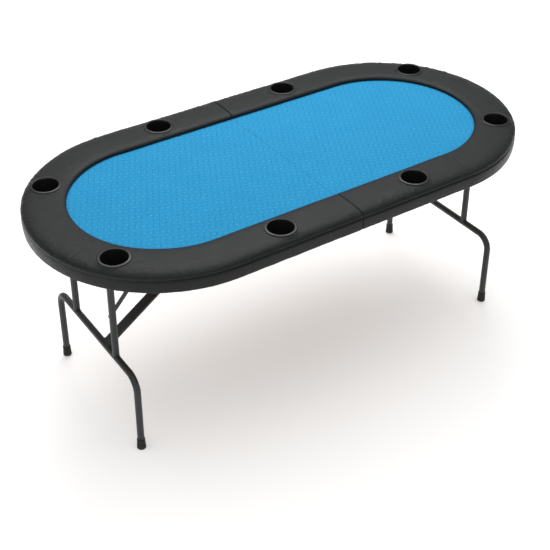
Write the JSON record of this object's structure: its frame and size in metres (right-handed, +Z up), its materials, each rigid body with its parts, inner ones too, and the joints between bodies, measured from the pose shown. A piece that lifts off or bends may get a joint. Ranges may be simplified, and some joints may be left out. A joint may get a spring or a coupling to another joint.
{
  "type": "folding oval card table",
  "caption": "Folding oval card table with a cloth playing surface, padded rail, cup holders, centre hinges and fold-away leg frames.",
  "frame": {"origin": "on the floor under the middle of the open table", "axes": "+X along the table's length, +Y towards its back, +Z up"},
  "size_m": [1.816, 0.91, 0.7644],
  "materials": {
    "playing_cloth": "smooth woven speed cloth, bright azure with a fine repeating dash motif",
    "rail_leather": "dark charcoal leatherette with a soft sheen",
    "rail_foam": "upholstery foam",
    "deck_board": "raw fibreboard",
    "apron_board": "raw timber strip",
    "cup_plastic": "moulded black plastic, satin",
    "leg_paint": "charcoal powder coat",
    "zinc_steel": "zinc-plated pressed steel",
    "foot_rubber": "matt black moulded rubber"
  },
  "bodies": {
    "right_half": {"apron_frame_right": "apron_board", "brace_bracket_right": "zinc_steel", "cup_holder_right_end_back": "cup_plastic", "cup_holder_right_end_front": "cup_plastic", "cup_holder_right_mid_back": "cup_plastic", "cup_holder_right_mid_front": "cup_plastic", "deck_board_right": "deck_board", "hinge_leaf_right_back": "zinc_steel", "hinge_leaf_right_front": "zinc_steel", "leg_bracket_right_back": "zinc_steel", "leg_bracket_right_front": "zinc_steel", "playing_cloth_right": "playing_cloth", "rail_cover_right": "rail_leather", "rail_foam_right": "rail_foam", "stay_bracket_right_back": "zinc_steel", "stay_bracket_right_front": "zinc_steel"},
    "hinge_pins": {"hinge_pin_front": "zinc_steel", "hinge_pin_back": "zinc_steel"},
    "left_half": {"apron_frame_left": "apron_board", "brace_bracket_left": "zinc_steel", "cup_holder_left_end_back": "cup_plastic", "cup_holder_left_end_front": "cup_plastic", "cup_holder_left_mid_back": "cup_plastic", "cup_holder_left_mid_front": "cup_plastic", "deck_board_left": "deck_board", "hinge_leaf_left_back": "zinc_steel", "hinge_leaf_left_front": "zinc_steel", "leg_bracket_left_back": "zinc_steel", "leg_bracket_left_front": "zinc_steel", "playing_cloth_left": "playing_cloth", "rail_cover_left": "rail_leather", "rail_foam_left": "rail_foam", "stay_bracket_left_back": "zinc_steel", "stay_bracket_left_front": "zinc_steel"},
    "leg_frame_right": {"leg_bow_right": "leg_paint", "leg_upright_right_back": "leg_paint", "leg_upright_right_front": "leg_paint", "pivot_pin_right_back": "zinc_steel", "pivot_pin_right_front": "zinc_steel", "rubber_foot_right_back": "foot_rubber", "rubber_foot_right_front": "foot_rubber"},
    "brace_link_right": {"brace_right": "leg_paint"},
    "stay_link_right_front": {"stay_right_front": "leg_paint"},
    "stay_link_right_back": {"stay_right_back": "leg_paint"},
    "leg_frame_left": {"leg_bow_left": "leg_paint", "leg_upright_left_back": "leg_paint", "leg_upright_left_front": "leg_paint", "pivot_pin_left_back": "zinc_steel", "pivot_pin_left_front": "zinc_steel", "rubber_foot_left_back": "foot_rubber", "rubber_foot_left_front": "foot_rubber"},
    "brace_link_left": {"brace_left": "leg_paint"},
    "stay_link_left_front": {"stay_left_front": "leg_paint"},
    "stay_link_left_back": {"stay_left_back": "leg_paint"}
  },
  "joints": [
    {"name": "centre_fold_finish", "type": "hinge", "parent": "right_half", "child": "hinge_pins", "pos_m": [0, 0, 0.694], "axis": [0, -1, 0], "range_deg": [0, 90]},
    {"name": "centre_fold_start", "type": "hinge", "parent": "hinge_pins", "child": "left_half", "pos_m": [0, 0, 0.694], "axis": [0, -1, 0], "range_deg": [0, 90]},
    {"name": "leg_fold_right", "type": "hinge", "parent": "right_half", "child": "leg_frame_right", "pos_m": [0.7278, 0, 0.7125], "axis": [0, 1, 0], "range_deg": [0, 91.2]},
    {"name": "brace_fold_right", "type": "hinge", "parent": "right_half", "child": "brace_link_right", "pos_m": [0.15, 0.077, 0.7278], "axis": [0, -1, 0], "range_deg": [0, 35]},
    {"name": "stay_fold_right_front", "type": "hinge", "parent": "right_half", "child": "stay_link_right_front", "pos_m": [0.4855, 0, 0.722], "axis": [0, -1, 0], "range_deg": [0, 48]},
    {"name": "stay_fold_right_back", "type": "hinge", "parent": "right_half", "child": "stay_link_right_back", "pos_m": [0.4855, 0, 0.722], "axis": [0, -1, 0], "range_deg": [0, 48]},
    {"name": "leg_fold_left", "type": "hinge", "parent": "left_half", "child": "leg_frame_left", "pos_m": [-0.7278, 0, 0.7125], "axis": [0, -1, 0], "range_deg": [0, 91.2]},
    {"name": "brace_fold_left", "type": "hinge", "parent": "left_half", "child": "brace_link_left", "pos_m": [-0.15, -0.077, 0.7278], "axis": [0, 1, 0], "range_deg": [0, 35]},
    {"name": "stay_fold_left_front", "type": "hinge", "parent": "left_half", "child": "stay_link_left_front", "pos_m": [-0.4855, 0, 0.722], "axis": [0, 1, 0], "range_deg": [0, 48]},
    {"name": "stay_fold_left_back", "type": "hinge", "parent": "left_half", "child": "stay_link_left_back", "pos_m": [-0.4855, 0, 0.722], "axis": [0, 1, 0], "range_deg": [0, 48]}
  ],
  "couplings": [
    {"joint": "leg_fold_right", "follows": "centre_fold_finish", "ratio": 1.0127},
    {"joint": "brace_fold_right", "follows": "centre_fold_finish", "ratio": 0.38774},
    {"joint": "stay_fold_right_front", "follows": "centre_fold_finish", "ratio": 0.53274},
    {"joint": "stay_fold_right_back", "follows": "centre_fold_finish", "ratio": 0.53274},
    {"joint": "leg_fold_left", "follows": "centre_fold_finish", "ratio": 1.0127},
    {"joint": "brace_fold_left", "follows": "centre_fold_finish", "ratio": 0.38774},
    {"joint": "stay_fold_left_front", "follows": "centre_fold_finish", "ratio": 0.53274},
    {"joint": "stay_fold_left_back", "follows": "centre_fold_finish", "ratio": 0.53274}
  ]
}
